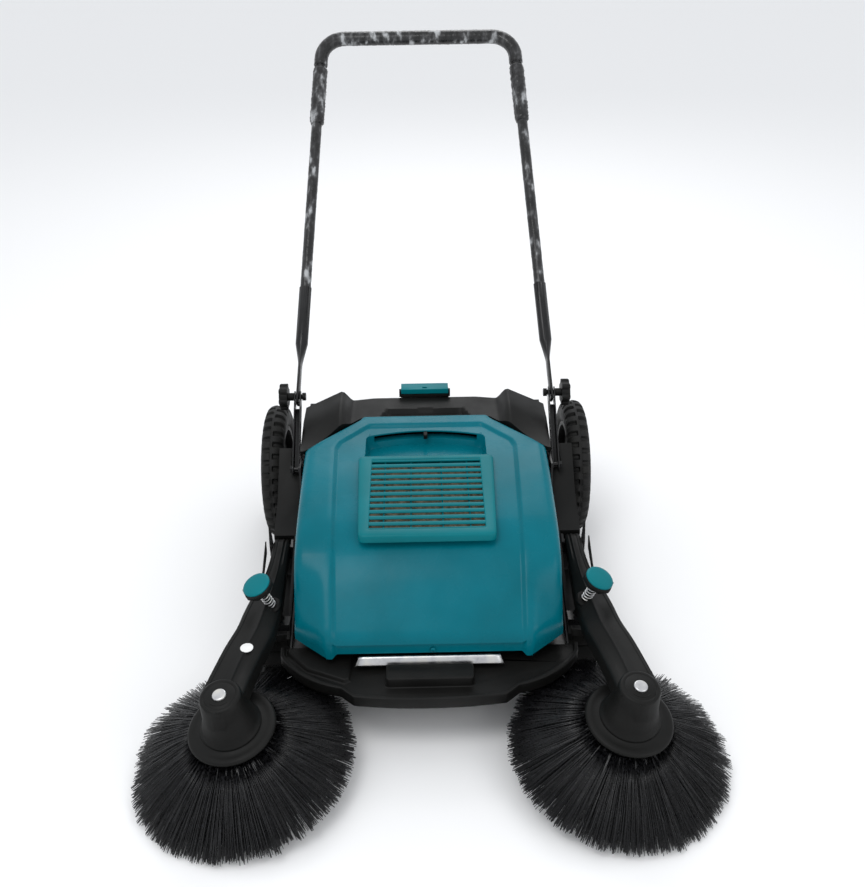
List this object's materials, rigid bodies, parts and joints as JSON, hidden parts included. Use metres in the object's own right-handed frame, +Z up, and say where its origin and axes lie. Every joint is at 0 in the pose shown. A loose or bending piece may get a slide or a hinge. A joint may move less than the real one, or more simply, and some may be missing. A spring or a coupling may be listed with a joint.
{
  "type": "walk behind sweeper",
  "caption": "Manual push sweeper with roller brush, angled side brushes on lifting arms, top cover with filter grille, rear dust bin, castor and folding handle.",
  "frame": {"origin": "on the floor, under the middle of the whole machine", "axes": "+Z up, the machine sweeps towards -Y, the operator stands at +Y, +X is the operator's left"},
  "size_m": [0.9772, 1.4522, 0.9281],
  "materials": {
    "teal_shell": "satin moulded ABS",
    "teal_trim": "satin moulded ABS",
    "black_shell": "fine-grained moulded polypropylene",
    "tyre_rubber": "moulded rubber",
    "skirt_rubber": "smooth rubber strip",
    "bristle": "nylon bristles, loosely packed",
    "zinc_steel": "zinc plated",
    "black_steel": "black powder coat",
    "foam": "closed-cell foam",
    "filter_media": "pleated polyester"
  },
  "bodies": {
    "chassis": {"side_plates": "black_steel", "axle_shafts": "zinc_steel", "roller_bearings": "zinc_steel", "drive_belts": "skirt_rubber", "side_fender_left": "black_shell", "side_fender_right": "black_shell", "front_bumper": "black_shell", "rear_housing": "black_shell", "latch_base": "black_shell", "floor_pan": "black_steel", "brush_shroud": "black_steel", "skirt_front": "skirt_rubber", "skirt_sides": "skirt_rubber", "skirt_rear": "skirt_rubber", "hinge_strip": "zinc_steel", "castor_plate": "zinc_steel", "arm_hinge_pins": "black_steel", "arm_rests": "black_steel", "handle_brackets": "black_steel", "bracket_bolts": "black_steel", "side_screws": "black_steel"},
    "roller": {"roller_core": "black_shell", "roller_bristles": "bristle", "roller_pulleys": "black_shell"},
    "cover": {"top_cover": "teal_shell", "filter_grille": "teal_trim", "filter_tray": "black_shell", "filter_element": "filter_media"},
    "bin": {"dust_bin": "black_shell", "bin_seal": "skirt_rubber"},
    "latch": {"bin_latch": "teal_trim"},
    "castor_swivel": {"castor_fork": "zinc_steel"},
    "castor_roll": {"castor_wheel": "tyre_rubber"},
    "handle": {"handle_lower_tubes": "black_steel", "handle_upper_tube": "black_steel", "handle_grip": "foam", "handle_sleeves": "foam"},
    "wheel_left": {"tyre_left": "tyre_rubber", "wheel_rim_left": "black_shell", "hub_cap_left": "black_shell"},
    "arm_left": {"side_arm_left": "black_shell", "arm_end_bolt_left": "zinc_steel", "height_spring_left": "zinc_steel"},
    "height_knob_left": {"height_screw_left": "black_shell", "height_screw_cap_left": "teal_trim"},
    "brush_left": {"brush_disc_left": "black_shell", "side_bristles_left": "bristle"},
    "clamp_left": {"clamp_knob_left": "black_shell"},
    "wheel_right": {"tyre_right": "tyre_rubber", "wheel_rim_right": "black_shell", "hub_cap_right": "black_shell"},
    "arm_right": {"side_arm_right": "black_shell", "arm_end_bolt_right": "zinc_steel", "height_spring_right": "zinc_steel"},
    "height_knob_right": {"height_screw_right": "black_shell", "height_screw_cap_right": "teal_trim"},
    "brush_right": {"brush_disc_right": "black_shell", "side_bristles_right": "bristle"},
    "clamp_right": {"clamp_knob_right": "black_shell"}
  },
  "joints": [
    {"name": "roller_spin", "type": "hinge", "parent": "chassis", "child": "roller", "pos_m": [0, -0.11, 0.126], "axis": [1, 0, 0], "continuous": true},
    {"name": "cover_hinge", "type": "hinge", "parent": "chassis", "child": "cover", "pos_m": [0, -0.424, 0.126], "axis": [-1, 0, 0], "range_deg": [-75, 0]},
    {"name": "bin_slide", "type": "slide", "parent": "chassis", "child": "bin", "axis": [0, 1, 0], "range_m": [0, 0.26]},
    {"name": "latch_turn", "type": "hinge", "parent": "chassis", "child": "latch", "pos_m": [0, 0.174, 0.312], "axis": [1, 0, 0], "range_deg": [0, 50]},
    {"name": "castor_turn", "type": "hinge", "parent": "chassis", "child": "castor_swivel", "pos_m": [0, -0.322, 0.086], "axis": [0, 0, 1], "continuous": true},
    {"name": "castor_spin", "type": "hinge", "parent": "castor_swivel", "child": "castor_roll", "pos_m": [0, -0.298, 0.037], "axis": [1, 0, 0], "continuous": true},
    {"name": "handle_fold", "type": "hinge", "parent": "chassis", "child": "handle", "pos_m": [0, 0.127, 0.33], "axis": [1, 0, 0], "range_deg": [-15, 120]},
    {"name": "wheel_left_spin", "type": "hinge", "parent": "chassis", "child": "wheel_left", "pos_m": [0.313, 0.144, 0.14], "axis": [1, 0, 0], "continuous": true},
    {"name": "arm_left_lift", "type": "hinge", "parent": "chassis", "child": "arm_left", "pos_m": [0.27, -0.178, 0.182], "axis": [-1, 0, 0], "range_deg": [0, 40], "deforming": ["side_bristles_left"]},
    {"name": "height_left_turn", "type": "hinge", "parent": "arm_left", "child": "height_knob_left", "pos_m": [0.264, -0.338, 0.166], "axis": [0.3374, -0.1635, 0.9271], "range_deg": [0, 360]},
    {"name": "brush_left_spin", "type": "hinge", "parent": "arm_left", "child": "brush_left", "pos_m": [0.304, -0.543, 0.0335], "axis": [0.1002, -0.1299, 0.9865], "continuous": true},
    {"name": "clamp_left_turn", "type": "hinge", "parent": "chassis", "child": "clamp_left", "pos_m": [0.258, 0.127, 0.33], "axis": [1, 0, 0], "range_deg": [0, 360]},
    {"name": "wheel_right_spin", "type": "hinge", "parent": "chassis", "child": "wheel_right", "pos_m": [-0.313, 0.144, 0.14], "axis": [1, 0, 0], "continuous": true},
    {"name": "arm_right_lift", "type": "hinge", "parent": "chassis", "child": "arm_right", "pos_m": [-0.27, -0.178, 0.182], "axis": [-1, 0, 0], "range_deg": [0, 40], "deforming": ["side_bristles_right"]},
    {"name": "height_right_turn", "type": "hinge", "parent": "arm_right", "child": "height_knob_right", "pos_m": [-0.264, -0.338, 0.166], "axis": [-0.3374, -0.1635, 0.9271], "range_deg": [0, 360]},
    {"name": "brush_right_spin", "type": "hinge", "parent": "arm_right", "child": "brush_right", "pos_m": [-0.304, -0.543, 0.0335], "axis": [-0.1002, -0.1299, 0.9865], "continuous": true},
    {"name": "clamp_right_turn", "type": "hinge", "parent": "chassis", "child": "clamp_right", "pos_m": [-0.258, 0.127, 0.33], "axis": [1, 0, 0], "range_deg": [0, 360]}
  ],
  "couplings": [
    {"joint": "roller_spin", "follows": "wheel_left_spin", "ratio": 2.5},
    {"joint": "brush_left_spin", "follows": "wheel_left_spin", "ratio": -1.2},
    {"joint": "brush_right_spin", "follows": "wheel_right_spin", "ratio": 1.2}
  ]
}
